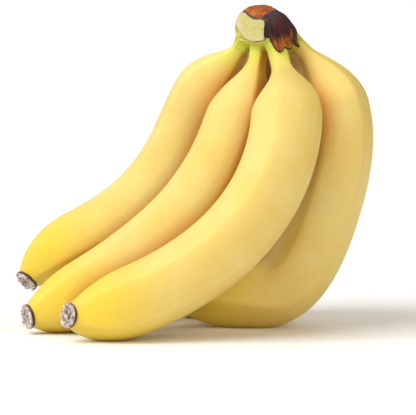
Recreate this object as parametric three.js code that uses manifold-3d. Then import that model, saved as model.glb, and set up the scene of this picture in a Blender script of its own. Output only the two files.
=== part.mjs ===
// A bunch of five ripe bananas, still joined at the crown that was cut from the stalk.
// Millimetres, +Z up. The bunch rests on the undersides of its fingers, with the crown at the top.
// The origin is at the middle of the bounding box, on the surface that the bunch rests on.
import * as THREE from "three";
import { NURBSCurve } from "three/addons/curves/NURBSCurve.js";
import { mergeVertices } from "three/addons/utils/BufferGeometryUtils.js";
import Module from "manifold-3d";

const wasm = await Module();
wasm.setup();

// ---- Driving dimensions ----

const GAP = 0.3; // between pieces that touch

const SAME_POINT = 1e-4; // vertices this close, in millimetres, are one

// Radii along a finger, and the lengths over which one passes into the next.
const SHOULDER_LENGTH = 32; // from the slim stalk to the full body
const SHOULDER_EARLINESS = 0.85; // below 1, the shoulder fills out sooner
const TIP_RADIUS = 5.7; // where the dried flower end sits
const TIP_LENGTH = 35; // from the full body to the tip
const TIP_BLUNTNESS = 2.3; // above 1, the body stays full for longer before it tapers

// A banana is a rounded pentagon in section, rounder in the middle of its length than at its ends.
const RIDGES = 5;
const END_SHARPNESS = 0.55;
const MIDDLE_SHARPNESS = 0.3;

// The crown is a low dome, leaning to the left, with two flat cuts.
const CROWN_BASE = 143; // height of the crown's underside
const CROWN_HEIGHT = 18.3;
const CROWN_CENTRE = new THREE.Vector2(35.5, 0.5);
const CROWN_LEAN = -3.4; // how far the top stands to the left of the base
const CROWN_HALF_WIDTH = 15.4;
const CROWN_HALF_DEPTH = 14.5;
const CROWN_FULLNESS = 2.4; // 2 is round, and more is squarer
const CROWN_TUCK = 0.07; // how much narrower the base is than the widest place, as a share
const CROWN_TUCK_HEIGHT = 0.35; // where the tuck ends, as a share of the height
const CROWN_SIDES = 36;
const CROWN_LEVELS = 9;
const CROWN_TOP_SHARE = 0.985; // the dome stops just short of a point

// The flat cuts, each given by a point on it and the way it faces.
const TOP_CUT = {
  point: new THREE.Vector3(32.5, -2, 159.4),
  facing: new THREE.Vector3(-0.05, -0.54, 0.84),
};
const SIDE_CUT = {
  point: new THREE.Vector3(33, -12, 148),
  facing: new THREE.Vector3(-0.58, -0.8, 0.17),
};

// Dried skin wraps the crown between two azimuths, in degrees, and hangs over its edge in ragged lobes.
const SKIN_THICKNESS = 1.1;
const SKIN_AZIMUTHS = [-100, 150];
const SKIN_FLARE = 0.45; // how far a lobe stands off for each millimetre that it hangs down
const SKIN_COLUMNS = 60;
const SKIN_ROWS = 8;

// Where the skin ends, as shares of the crown's height: below between its lobes, and above, where its
// edge rises and falls again between these azimuths.
const SKIN_BOTTOM_SHARE = 0.09;
const SKIN_TOP_SHARES = [0.6, 0.8];
const SKIN_RISE = [-100, -25];
const SKIN_FALL = [90, 150];
const LOBE_BLUNTNESS = 0.8; // 1 is a straight-sided point, and less is rounder
const SKIN_LOBES = [
  { azimuth: -74, drop: 6.2, spread: 13 },
  { azimuth: -51, drop: 5.2, spread: 11 },
  { azimuth: -22, drop: 3.6, spread: 15 },
  { azimuth: 12, drop: 2.2, spread: 14 },
  { azimuth: 48, drop: 4.6, spread: 16 },
  { azimuth: 84, drop: 1.6, spread: 14 },
  { azimuth: 122, drop: 3.8, spread: 18 },
];

// The dried flower end on each tip. Each ring has its distance past the tip as a share of the length,
// and its radius as a share of the tip's.
const END_LENGTH = 3.8;
const END_SIDES = 20;
const END_PROFILE = [
  { distance: 0, radius: 0.9 },
  { distance: 0.25, radius: 1.02 },
  { distance: 0.7, radius: 0.9 },
  { distance: 1, radius: 0.72 },
  { distance: 0.75, radius: 0.45 },
];
// Waves round the end that make it ragged: how many, how high as a share of the radius, and how far
// each ring turns them.
const END_WAVES = [
  { count: 3, height: 0.07, turn: 1 },
  { count: 5, height: 0.05, turn: -2 },
];

const FINGER_SIDES = 20;
const FINGER_RINGS = 40;

// The fingers lie side by side along this direction, which is square to the plane that each one bends in.
const FAN_DIRECTION = new THREE.Vector3(0.42, -0.91, 0).normalize();

// Each finger's centre line runs from inside the crown to the tip, through the pull of these points.
// The stalk is slim over its stated length. Roll places the first ridge, in degrees from the hollow of
// the bend towards the fan direction, at the stalk and at the tip.
const FINGERS = [
  {
    name: "finger_1",
    stalk: { radius: 4.6, length: 6 },
    radius: 17.9,
    roll: [95, 95],
    route: [
      [25, 6, 145],
      [22, 8, 136],
      [9, 15, 126],
      [-2, 24, 103],
      [-15, 25.5, 72],
      [-47, 21, 45],
      [-75, 17, 35],
      [-85, 10, 23],
    ],
  },
  {
    name: "finger_2",
    stalk: { radius: 4.9, length: 12 },
    radius: 18,
    roll: [76, 115],
    route: [
      [31.5, -0.5, 145],
      [32, -2, 134],
      [25, -7, 118],
      [16, -12, 86],
      [-5, -13, 54],
      [-44, -16, 24],
      [-67, -20, 12],
      [-81, -27, 9],
    ],
  },
  {
    name: "finger_3",
    stalk: { radius: 5.3, length: 16 },
    radius: 18.2,
    roll: [47, 45],
    route: [
      [39, -7, 145],
      [43, -11, 129],
      [46, -31, 114],
      [43.5, -42.5, 88],
      [27, -46, 54],
      [-9, -48, 25],
      [-47, -50, 11],
      [-59, -58, 13],
    ],
  },
  {
    name: "finger_4",
    stalk: { radius: 4.8, length: 11 },
    radius: 18.2,
    roll: [33, 33],
    route: [
      [46, 3, 145],
      [55, 2, 137],
      [67, -1, 124],
      [74.5, -6, 94],
      [64, -4, 52],
      [45, -1, 9],
      [14, 1, 20],
      [-16, 0, 19],
    ],
  },
  {
    name: "finger_5",
    stalk: { radius: 5.2, length: 3 },
    radius: 18.2,
    roll: [60, 75],
    route: [
      [36.8, 8.2, 145],
      [37.2, 13.8, 138],
      [38.5, 26.5, 138.5],
      [40.5, 42.5, 122],
      [39.5, 49, 88],
      [33, 45, 37],
      [12, 41, 6.6],
      [-22, 38, 20],
    ],
  },
];

// ---- Materials ----

const peel = new THREE.MeshStandardMaterial({ color: 0xe9cf5c, roughness: 0.45, metalness: 0 });
const cutCrown = new THREE.MeshStandardMaterial({ color: 0xc9d07a, roughness: 0.6, metalness: 0 });
const driedSkin = new THREE.MeshStandardMaterial({ color: 0x3a2026, roughness: 0.5, metalness: 0 });
const driedEnd = new THREE.MeshStandardMaterial({ color: 0x6e5648, roughness: 0.9, metalness: 0 });

// ---- Shape helpers ----

// Closes a stack of rings, each with the same number of points, into one solid.
function loft(rings) {
  const sides = rings[0].length;
  const points = rings.flat();
  const faces = [];
  for (let ring = 0; ring + 1 < rings.length; ring++) {
    for (let side = 0; side < sides; side++) {
      const a = ring * sides + side;
      const b = ring * sides + ((side + 1) % sides);
      faces.push(a, b, a + sides, b, b + sides, a + sides);
    }
  }
  const first = points.push(middle(rings[0])) - 1;
  const last = points.push(middle(rings.at(-1))) - 1;
  const top = (rings.length - 1) * sides;
  for (let side = 0; side < sides; side++) {
    const next = (side + 1) % sides;
    faces.push(first, next, side);
    faces.push(last, top + side, top + next);
  }
  return new THREE.BufferGeometry().setFromPoints(points).setIndex(faces);
}

function middle(ring) {
  const sum = new THREE.Vector3();
  ring.forEach((point) => sum.add(point));
  return sum.divideScalar(ring.length);
}

function toSolid(geometry) {
  const bare = geometry.clone();
  bare.deleteAttribute("normal");
  bare.deleteAttribute("uv");
  const merged = mergeVertices(bare, SAME_POINT);
  const mesh = new wasm.Mesh({
    numProp: 3,
    vertProperties: new Float32Array(merged.attributes.position.array),
    triVerts: new Uint32Array(merged.index.array),
  });
  return new wasm.Manifold(mesh);
}

function toGeometry(solid) {
  const mesh = solid.getMesh();
  const geometry = new THREE.BufferGeometry();
  geometry.setAttribute("position", new THREE.BufferAttribute(mesh.vertProperties, 3));
  geometry.setIndex(new THREE.BufferAttribute(mesh.triVerts, 1));
  geometry.computeVertexNormals();
  return geometry;
}

// A large block that fills the space between two heights.
function slab(low, high) {
  const size = 1000;
  const block = new THREE.BoxGeometry(size, size, high - low).translate(0, 0, (low + high) / 2);
  return toSolid(block);
}

const smooth = (from, to, value) => THREE.MathUtils.smoothstep(value, from, to);

// ---- Fingers ----

function routeCurve(route) {
  const degree = 3;
  const points = route.map(([x, y, z]) => new THREE.Vector4(x, y, z, 1));
  const spans = points.length - degree;
  const inner = Array.from({ length: spans - 1 }, (_, i) => (i + 1) / spans);
  const ends = degree + 1;
  const knots = [...Array(ends).fill(0), ...inner, ...Array(ends).fill(1)];
  return new NURBSCurve(degree, knots, points);
}

// Radius at a distance from the stalk's start, on a centre line of the given length.
function fingerRadius({ stalk, radius }, distance, length) {
  const shoulder = smooth(stalk.length, stalk.length + SHOULDER_LENGTH, distance);
  const fromStalk = stalk.radius + (radius - stalk.radius) * shoulder ** SHOULDER_EARLINESS;
  const toTip = Math.min(1, (length - distance) / TIP_LENGTH);
  const taper = 1 - (1 - toTip) ** TIP_BLUNTNESS;
  return Math.min(fromStalk, TIP_RADIUS + (radius - TIP_RADIUS) * taper);
}

// How far a pentagon's side stands off its centre, as a share of its corner radius.
// Sharpness 0 gives a circle and 1 the pentagon itself.
function ridgeShare(angle, sharpness) {
  const turn = (2 * Math.PI) / RIDGES;
  const fromFace = THREE.MathUtils.euclideanModulo(angle, turn) - turn / 2;
  return (Math.cos(turn / 2) / Math.cos(fromFace)) ** sharpness;
}

function sectionFrame(curve, share) {
  const tangent = curve.getTangentAt(share);
  const side = FAN_DIRECTION.clone().projectOnPlane(tangent).normalize();
  const hollow = new THREE.Vector3().crossVectors(tangent, side);
  return { centre: curve.getPointAt(share), tangent, side, hollow };
}

function fingerRing(curve, share, finger) {
  const { centre, side, hollow } = sectionFrame(curve, share);
  const length = curve.getLength();
  const radius = fingerRadius(finger, share * length, length);
  const roll = THREE.MathUtils.degToRad(THREE.MathUtils.lerp(...finger.roll, share));
  const sharpness = THREE.MathUtils.lerp(END_SHARPNESS, MIDDLE_SHARPNESS, Math.sin(Math.PI * share));
  return Array.from({ length: FINGER_SIDES }, (_, i) => {
    const angle = (-i / FINGER_SIDES) * 2 * Math.PI;
    const reach = radius * ridgeShare(angle - roll, sharpness);
    return centre
      .clone()
      .addScaledVector(hollow, reach * Math.cos(angle))
      .addScaledVector(side, reach * Math.sin(angle));
  });
}

function fingerGeometry(finger) {
  const curve = routeCurve(finger.route);
  const rings = Array.from({ length: FINGER_RINGS }, (_, i) => {
    return fingerRing(curve, i / (FINGER_RINGS - 1), finger);
  });
  return toGeometry(toSolid(loft(rings)).intersect(slab(0, CROWN_BASE - GAP)));
}

// ---- Dried flower ends ----

function endGeometry(finger) {
  const { centre, tangent, side, hollow } = sectionFrame(routeCurve(finger.route), 1);
  const rings = END_PROFILE.map(({ distance, radius }, level) => {
    return Array.from({ length: END_SIDES }, (_, i) => {
      const angle = (-i / END_SIDES) * 2 * Math.PI;
      const waves = END_WAVES.map((wave) => wave.height * Math.sin(wave.count * angle + wave.turn * level));
      const reach = TIP_RADIUS * radius * (1 + waves[0] + waves[1]);
      return centre
        .clone()
        .addScaledVector(tangent, GAP + distance * END_LENGTH)
        .addScaledVector(hollow, reach * Math.cos(angle))
        .addScaledVector(side, reach * Math.sin(angle));
    });
  });
  return loft(rings);
}

// ---- Crown ----

// Half width of the crown at a share of its height, as a share of that at its widest.
function crownSwell(share) {
  const tuck = CROWN_TUCK * (1 - smooth(0, CROWN_TUCK_HEIGHT, share));
  return Math.sqrt(1 - Math.max(0, share) ** CROWN_FULLNESS) * (1 - tuck);
}

// A point on the crown's surface, or standing off from it by an offset. Azimuth is in radians.
function crownPoint(azimuth, share, offset) {
  const swell = crownSwell(share);
  const flare = Math.max(0, -share * CROWN_HEIGHT) * SKIN_FLARE;
  const x = (CROWN_HALF_WIDTH * swell + offset + flare) * Math.cos(azimuth);
  const y = (CROWN_HALF_DEPTH * swell + offset + flare) * Math.sin(azimuth);
  const rise = offset * Math.max(0, share) ** 2;
  return new THREE.Vector3(
    CROWN_CENTRE.x + CROWN_LEAN * share + x,
    CROWN_CENTRE.y + y,
    CROWN_BASE + CROWN_HEIGHT * share + rise,
  );
}

// A block that fills the far side of a flat cut.
function cutAway({ point, facing }) {
  const size = 60;
  const block = new THREE.BoxGeometry(size, size, size).translate(0, 0, size / 2);
  const up = new THREE.Vector3(0, 0, 1);
  block.applyQuaternion(new THREE.Quaternion().setFromUnitVectors(up, facing.clone().normalize()));
  block.translate(point.x, point.y, point.z);
  return toSolid(block);
}

function crownGeometry() {
  const rings = Array.from({ length: CROWN_LEVELS }, (_, level) => {
    const share = CROWN_TOP_SHARE * Math.sin((level / (CROWN_LEVELS - 1)) * (Math.PI / 2));
    return Array.from({ length: CROWN_SIDES }, (_, i) => {
      return crownPoint((i / CROWN_SIDES) * 2 * Math.PI, share, 0);
    });
  });
  return toGeometry(toSolid(loft(rings)).subtract(cutAway(TOP_CUT)).subtract(cutAway(SIDE_CUT)));
}

// ---- Dried skin on the crown ----

// Share of the crown's height where the skin ends below: its lobes hang past the crown's base.
function skinBottom(degrees) {
  const drops = SKIN_LOBES.map(({ azimuth, drop, spread }) => {
    return drop * Math.max(0, 1 - Math.abs(degrees - azimuth) / spread) ** LOBE_BLUNTNESS;
  });
  return SKIN_BOTTOM_SHARE - Math.max(...drops) / CROWN_HEIGHT;
}

// Share of the crown's height where it ends above, along the edge of the top cut.
function skinTop(degrees) {
  const risen = smooth(...SKIN_RISE, degrees) * (1 - smooth(...SKIN_FALL, degrees));
  return THREE.MathUtils.lerp(...SKIN_TOP_SHARES, risen);
}

// A sheet of columns and rows, closed round its edge by its own inner and outer faces.
function skinGeometry() {
  const rings = Array.from({ length: SKIN_COLUMNS }, (_, column) => {
    const degrees = THREE.MathUtils.lerp(...SKIN_AZIMUTHS, column / (SKIN_COLUMNS - 1));
    const low = skinBottom(degrees);
    const high = skinTop(degrees);
    const face = (offset) => Array.from({ length: SKIN_ROWS }, (_, row) => {
      const share = THREE.MathUtils.lerp(low, high, row / (SKIN_ROWS - 1));
      return crownPoint(THREE.MathUtils.degToRad(degrees), share, offset);
    });
    return [...face(GAP), ...face(GAP + SKIN_THICKNESS).reverse()];
  });
  return loft(rings);
}

// ---- Assembly ----

const bunch = new THREE.Group();

function addPiece(name, geometry, material) {
  const mesh = new THREE.Mesh(geometry, material);
  mesh.name = name;
  bunch.add(mesh);
}

addPiece("crown", crownGeometry(), cutCrown);
addPiece("dried_crown_skin", skinGeometry(), driedSkin);
for (const finger of FINGERS) {
  addPiece(finger.name, fingerGeometry(finger), peel);
  addPiece(`${finger.name}_flower_end`, endGeometry(finger), driedEnd);
}

// The middle of the bounding box goes to the origin; the resting surface is already at height 0.
const middleOfBunch = new THREE.Box3().setFromObject(bunch).getCenter(new THREE.Vector3());
bunch.position.set(-middleOfBunch.x, -middleOfBunch.y, 0);

export default bunch;
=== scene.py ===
"""A bunch of five ripe bananas, still joined at the cut crown, resting on its own fingers on a pale table.

Shapes are drawn in millimetres in the drawing's frame, with the table at height 0. They are then placed in
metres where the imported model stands.
"""

import logging
import math
from collections.abc import Callable, Sequence
from dataclasses import dataclass
from enum import Enum
from typing import Any

import bmesh
import bpy
import numpy as np
from mathutils import Matrix, Vector, noise


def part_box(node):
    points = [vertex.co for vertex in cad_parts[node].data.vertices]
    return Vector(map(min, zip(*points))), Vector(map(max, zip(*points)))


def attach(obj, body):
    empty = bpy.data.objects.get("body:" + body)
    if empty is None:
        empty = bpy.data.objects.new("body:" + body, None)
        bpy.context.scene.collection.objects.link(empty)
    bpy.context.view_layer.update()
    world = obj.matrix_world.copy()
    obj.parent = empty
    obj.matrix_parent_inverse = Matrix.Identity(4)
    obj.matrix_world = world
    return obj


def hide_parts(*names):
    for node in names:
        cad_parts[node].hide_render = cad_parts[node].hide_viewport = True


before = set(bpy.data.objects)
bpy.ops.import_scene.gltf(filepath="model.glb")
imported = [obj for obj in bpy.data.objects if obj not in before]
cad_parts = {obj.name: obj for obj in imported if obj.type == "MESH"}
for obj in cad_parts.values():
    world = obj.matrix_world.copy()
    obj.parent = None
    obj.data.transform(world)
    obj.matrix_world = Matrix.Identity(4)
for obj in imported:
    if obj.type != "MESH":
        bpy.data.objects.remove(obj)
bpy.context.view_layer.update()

log = logging.getLogger("bananas")

Point = tuple[float, float, float]
Colour = tuple[float, float, float, float]
Socket = bpy.types.NodeSocket
Tree = bpy.types.NodeTree
Material = bpy.types.Material
Piece = bpy.types.Object
Shape = bmesh.types.BMesh
Vertex = bmesh.types.BMVert
Lay = Callable[[Vertex, float, float, float], Vector]
Feed = Any  # a plain value for a socket, or the socket that feeds it

METRE_PER_MM = 0.001


class Body(Enum):
    """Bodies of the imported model."""

    ROOT = "root"


class Slot(Enum):
    """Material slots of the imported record."""

    PEEL = "peel"
    CUT_CROWN = "cut_crown"
    DRIED_SKIN = "dried_skin"
    DRIED_FLOWER_END = "dried_flower_end"


# ---- Numbers and colours ----


def smooth(low: float, high: float, value: float) -> float:
    """Eases from 0 at low to 1 at high."""
    share = min(1.0, max(0.0, (value - low) / (high - low)))
    return share * share * (3.0 - 2.0 * share)


def fade(low: float, high: float, value: float) -> float:
    """Eases from 1 at low to 0 at high."""
    return 1.0 - smooth(low, high, value)


def between(first: float, second: float, share: float) -> float:
    """The value at a share of the way from first to second."""
    return first + (second - first) * share


def wave(x: float, y: float, z: float) -> float:
    """Smooth noise from -1 to 1 at a point, the same on each run."""
    return noise.noise(Vector((x, y, z)))


def wave_at(place: Vector, size: float) -> float:
    """Smooth noise at a place, with features of about the given size."""
    return wave(place.x / size, place.y / size, place.z / size)


def colour(code: str) -> Colour:
    """A colour for a shader socket.

    Args:
        code: Six hexadecimal digits, as shown on a screen.

    Returns:
        The same colour in linear light, with full alpha.
    """

    def linear(value: float) -> float:
        return value / 12.92 if value <= 0.04045 else ((value + 0.055) / 1.055) ** 2.4

    red, green, blue = (linear(int(code[i : i + 2], 16) / 255.0) for i in (0, 2, 4))
    return (red, green, blue, 1.0)


# ---- Shader nodes ----


class Desk:
    """Lays nodes out in one shader tree and links them."""

    def __init__(self, tree: Tree) -> None:
        """Works on the given tree."""
        self.tree = tree

    def add(self, kind: str, **settings: Any) -> bpy.types.Node:
        """Adds a node of a kind, with its settings."""
        node = self.tree.nodes.new(kind)
        for name, value in settings.items():
            setattr(node, name, value)
        return node

    def feed(self, socket: Socket, value: Feed) -> None:
        """Links a socket to what feeds it, or gives it a plain value."""
        if isinstance(value, Socket):
            self.tree.links.new(value, socket)
        else:
            socket.default_value = value

    def fill(self, sockets: Sequence[Socket], *values: Feed) -> None:
        """Feeds the first sockets of a node with a value each."""
        for socket, value in zip(sockets, values):
            self.feed(socket, value)

    def place(self) -> Socket:
        """The point on the piece, in metres."""
        return self.add("ShaderNodeTexCoord").outputs["Object"]

    def attributes(self, *names: str) -> list[Socket]:
        """Numbers that are stored at the piece's vertices."""
        return [self.add("ShaderNodeAttribute", attribute_name=name).outputs["Fac"] for name in names]

    def skin(self) -> Socket:
        """The place on the piece as its skin lies, in millimetres, with the fibres along the third axis."""
        return self.add("ShaderNodeAttribute", attribute_name="skin").outputs["Vector"]

    def noise(self, where: Feed, scale: Feed, detail: float = 2.0, rough: float = 0.5) -> Socket:
        """Cloudy noise from 0 to 1."""
        node = self.add("ShaderNodeTexNoise")
        for name, value in (("Vector", where), ("Scale", scale), ("Detail", detail), ("Roughness", rough)):
            self.feed(node.inputs[name], value)
        return node.outputs["Fac"]

    def maths(self, operation: str, *values: Feed, clamp: bool = False) -> Socket:
        """One step of arithmetic."""
        node = self.add("ShaderNodeMath", operation=operation, use_clamp=clamp)
        self.fill(node.inputs, *values)
        return node.outputs[0]

    def scaled(self, value: Feed, factor: float, offset: float, clamp: bool = False) -> Socket:
        """A value times a factor, plus an offset."""
        return self.maths("MULTIPLY_ADD", value, factor, offset, clamp=clamp)

    def ease(self, value: Feed, low: Feed, high: Feed, first: float = 0.0, last: float = 1.0) -> Socket:
        """Eases from first to last as the value goes from low to high."""
        node = self.add("ShaderNodeMapRange", interpolation_type="SMOOTHSTEP")
        names = ("Value", "From Min", "From Max", "To Min", "To Max")
        for name, number in zip(names, (value, low, high, first, last)):
            self.feed(node.inputs[name], number)
        return node.outputs["Result"]

    def blend(self, share: Feed, first: Feed, second: Feed, mode: str = "MIX") -> Socket:
        """Mixes two colours."""
        node = self.add("ShaderNodeMix", data_type="RGBA", blend_type=mode)
        self.feed(node.inputs[0], share)
        self.fill(node.inputs[6:8], first, second)
        return node.outputs[2]

    def two(self, share: Feed, first: str, second: str) -> Socket:
        """Mixes two colours that are given by their codes."""
        return self.blend(share, colour(first), colour(second))

    def tint(self, base: Feed, share: Feed, code: str, strength: float = 1.0) -> Socket:
        """Mixes a colour into a base, by a share that a strength below 1 weakens."""
        if strength < 1.0:
            share = self.maths("MULTIPLY", share, strength)
        return self.blend(share, base, colour(code))

    def bump(self, height: Feed, depth: float, under: Feed | None) -> Socket:
        """Turns a height from 0 to 1 into a normal, for relief of a depth in metres."""
        node = self.add("ShaderNodeBump")
        node.inputs["Distance"].default_value = depth
        self.feed(node.inputs["Height"], height)
        if under is not None:
            self.feed(node.inputs["Normal"], under)
        return node.outputs["Normal"]


class Effect(Enum):
    """Shader effects that more than one finish uses, with the numbers that each one takes."""

    MOTTLE = ("Scale", "Softness")
    FIBRES = ("Across", "Along")
    SPECKS = ("Scale", "Size", "Share")


class Effects:
    """Builds each shared effect once, as a node group that takes a place and some numbers."""

    def __init__(self) -> None:
        """Starts with nothing built."""
        self._built: dict[Effect, Tree] = {}

    def use(self, desk: Desk, effect: Effect, where: Feed, *numbers: Feed) -> Socket:
        """Places an effect in a material.

        Args:
            desk: The material's desk.
            effect: The effect to place.
            where: The place that it varies with.
            *numbers: A value or feed for each number that it takes.

        Returns:
            How strong the effect is, from 0 to 1.
        """
        if effect not in self._built:
            self._built[effect] = self._build(effect)
        node = desk.add("ShaderNodeGroup", node_tree=self._built[effect])
        desk.fill(node.inputs, where, *numbers)
        return node.outputs[0]

    def _build(self, effect: Effect) -> Tree:
        """Builds an effect's node group."""
        tree = bpy.data.node_groups.new(effect.name.lower(), "ShaderNodeTree")
        tree.interface.new_socket(name="Where", in_out="INPUT", socket_type="NodeSocketVector")
        for name in effect.value:
            tree.interface.new_socket(name=name, in_out="INPUT", socket_type="NodeSocketFloat")
        tree.interface.new_socket(name="Strength", in_out="OUTPUT", socket_type="NodeSocketFloat")
        desk = Desk(tree)
        given = desk.add("NodeGroupInput").outputs[: len(effect.value) + 1]
        output = desk.add("NodeGroupOutput").inputs[0]
        makers = {Effect.MOTTLE: self._mottle, Effect.FIBRES: self._fibres, Effect.SPECKS: self._specks}
        desk.feed(output, makers[effect](desk, *given))
        return tree

    def _mottle(self, desk: Desk, where: Socket, scale: Socket, softness: Socket) -> Socket:
        """Soft patches with finer ones inside them."""
        broad = desk.noise(where, scale, detail=3.0, rough=0.55)
        return desk.ease(broad, desk.maths("SUBTRACT", 0.5, softness), desk.maths("ADD", 0.5, softness))

    def _fibres(self, desk: Desk, where: Socket, across: Socket, along: Socket) -> Socket:
        """Fine streaks along the third axis of a place in millimetres."""
        scale = desk.add("ShaderNodeCombineXYZ")
        desk.fill(scale.inputs, across, across, along)
        stretched = desk.add("ShaderNodeVectorMath", operation="MULTIPLY")
        desk.fill(stretched.inputs, where, scale.outputs[0])
        streaks = desk.noise(stretched.outputs[0], 1.0, detail=4.0, rough=0.6)
        return desk.ease(streaks, 0.3, 0.7)

    def _specks(self, desk: Desk, where: Socket, scale: Socket, size: Socket, share: Socket) -> Socket:
        """Small round marks, present at some of the scattered points only."""
        points = desk.add("ShaderNodeTexVoronoi")
        desk.feed(points.inputs["Vector"], where)
        desk.feed(points.inputs["Scale"], scale)
        chance = desk.add("ShaderNodeSeparateColor")
        desk.feed(chance.inputs[0], points.outputs["Color"])
        there = desk.maths("LESS_THAN", chance.outputs[0], share)
        widest = desk.maths("MULTIPLY", size, chance.outputs[1])
        mark = desk.ease(points.outputs["Distance"], 0.0, widest, 1.0, 0.0)
        return desk.maths("MULTIPLY", mark, there)


# ---- Finishes ----


class Finish:
    """A material built from nodes."""

    name = "finish"

    def make(self, effects: Effects) -> Material:
        """Builds the material."""
        material = bpy.data.materials.new(self.name)
        material.use_nodes = True
        material.node_tree.nodes.clear()
        desk = Desk(material.node_tree)
        shader = desk.add("ShaderNodeBsdfPrincipled")
        output = desk.add("ShaderNodeOutputMaterial")
        desk.feed(output.inputs["Surface"], shader.outputs["BSDF"])
        for name, value in self.looks(desk, effects).items():
            desk.feed(shader.inputs[name], value)
        return material

    def looks(self, desk: Desk, effects: Effects) -> dict[str, Feed]:
        """What feeds each socket of the material's shader."""
        raise NotImplementedError

    @staticmethod
    def skinned(desk: Desk, base: Feed, roughness: Feed, *reliefs: tuple[Feed, float]) -> dict[str, Feed]:
        """Feeds for a colour, a roughness and layers of relief, each a height and its depth in metres."""
        normal = None
        for height, depth in reliefs:
            normal = desk.bump(height, depth, normal)
        return {"Base Color": base, "Roughness": roughness, "Normal": normal}


@dataclass(frozen=True)
class PeelFinish(Finish):
    """Ripe banana peel: lime at the stalk, creamy yellow on the body and deeper yellow at the tip, with
    painted shade between fingers.
    """

    name: str = "banana_peel"
    body: str = "DEC76F"
    body_deep: str = "DCBC59"
    stalk: str = "D2D43C"
    stalk_deep: str = "C0CA30"
    tip: str = "E0C01F"
    line: str = "D0AC44"
    freckle: str = "A5762F"
    # Painted shade colour, deep orange, for where a finger faces a neighbour.
    deep: str = "C46C06"
    # Painted shade colour, brown, for the shoulder that sits in shadow between the stalks.
    brown: str = "864C08"
    lime_from: float = 9.0
    lime_to: float = 31.0
    lime_raggedness: float = 10.0
    tip_from: float = 62.0
    tip_to: float = 12.0
    pore_scale: float = 2600.0
    pore_depth: float = 0.00004
    streak_depth: float = 0.00003
    shine: tuple[float, float] = (1.0, 0.2)
    glow: float = 0.08
    glow_radius: Point = (1.0, 0.6, 0.15)
    glow_depth: float = 0.003

    def looks(self, desk: Desk, effects: Effects) -> dict[str, Feed]:
        """Looks that follow the finger's own attributes."""
        where = desk.place()
        skin = desk.skin()
        names = ("from_stalk", "from_tip", "ridge", "groove_shade", "shoulder_shade")
        from_stalk, from_tip, ridge, groove_shade, shoulder_shade = desk.attributes(*names)
        patches = effects.use(desk, Effect.MOTTLE, where, 38.0, 0.22)
        fine = effects.use(desk, Effect.MOTTLE, where, 420.0, 0.3)
        streak = effects.use(desk, Effect.FIBRES, skin, 0.8, 0.04)
        freckles = effects.use(desk, Effect.SPECKS, where, 210.0, 0.16, 0.05)

        ragged = desk.scaled(streak, self.lime_raggedness, from_stalk)
        green = desk.ease(ragged, self.lime_from, self.lime_to, 1.0, 0.0)
        yellow = desk.ease(from_tip, self.tip_to, self.tip_from, 1.0, 0.0)
        base = desk.two(patches, self.body, self.body_deep)
        base = desk.tint(base, yellow, self.tip)
        base = desk.blend(green, base, desk.two(patches, self.stalk, self.stalk_deep))
        base = desk.tint(base, ridge, self.line, 0.3)
        # Painted shade: deep orange where the peel faces a neighbouring finger, standing for its shadow and
        # bounced yellow light.
        base = desk.tint(base, groove_shade, self.deep, 0.75)
        # Painted shade: brown on the front of the shoulder, where it sits in shadow between the stalks.
        base = desk.tint(base, desk.maths("MULTIPLY", shoulder_shade, desk.scaled(streak, 0.1, 0.9)), self.brown)
        grain = desk.scaled(streak, 0.035, desk.scaled(fine, 0.04, 0.94))
        grey = desk.add("ShaderNodeCombineColor")
        desk.fill(grey.inputs, grain, grain, grain)
        base = desk.blend(1.0, base, grey.outputs[0], "MULTIPLY")
        base = desk.tint(base, freckles, self.freckle, 0.5)

        roughness = desk.ease(fine, 0.0, 1.0, 0.5, 0.58)
        pores = desk.noise(where, self.pore_scale, detail=1.0)
        looks = self.skinned(desk, base, roughness, (pores, self.pore_depth), (streak, self.streak_depth))
        # Less sheen where shade is painted.
        shaded = desk.maths("MAXIMUM", shoulder_shade, desk.maths("MULTIPLY", groove_shade, 0.7))
        return looks | {
            "Specular IOR Level": desk.ease(shaded, 0.0, 1.0, *self.shine),
            "Subsurface Weight": self.glow,
            "Subsurface Radius": self.glow_radius,
            "Subsurface Scale": self.glow_depth,
        }


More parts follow.
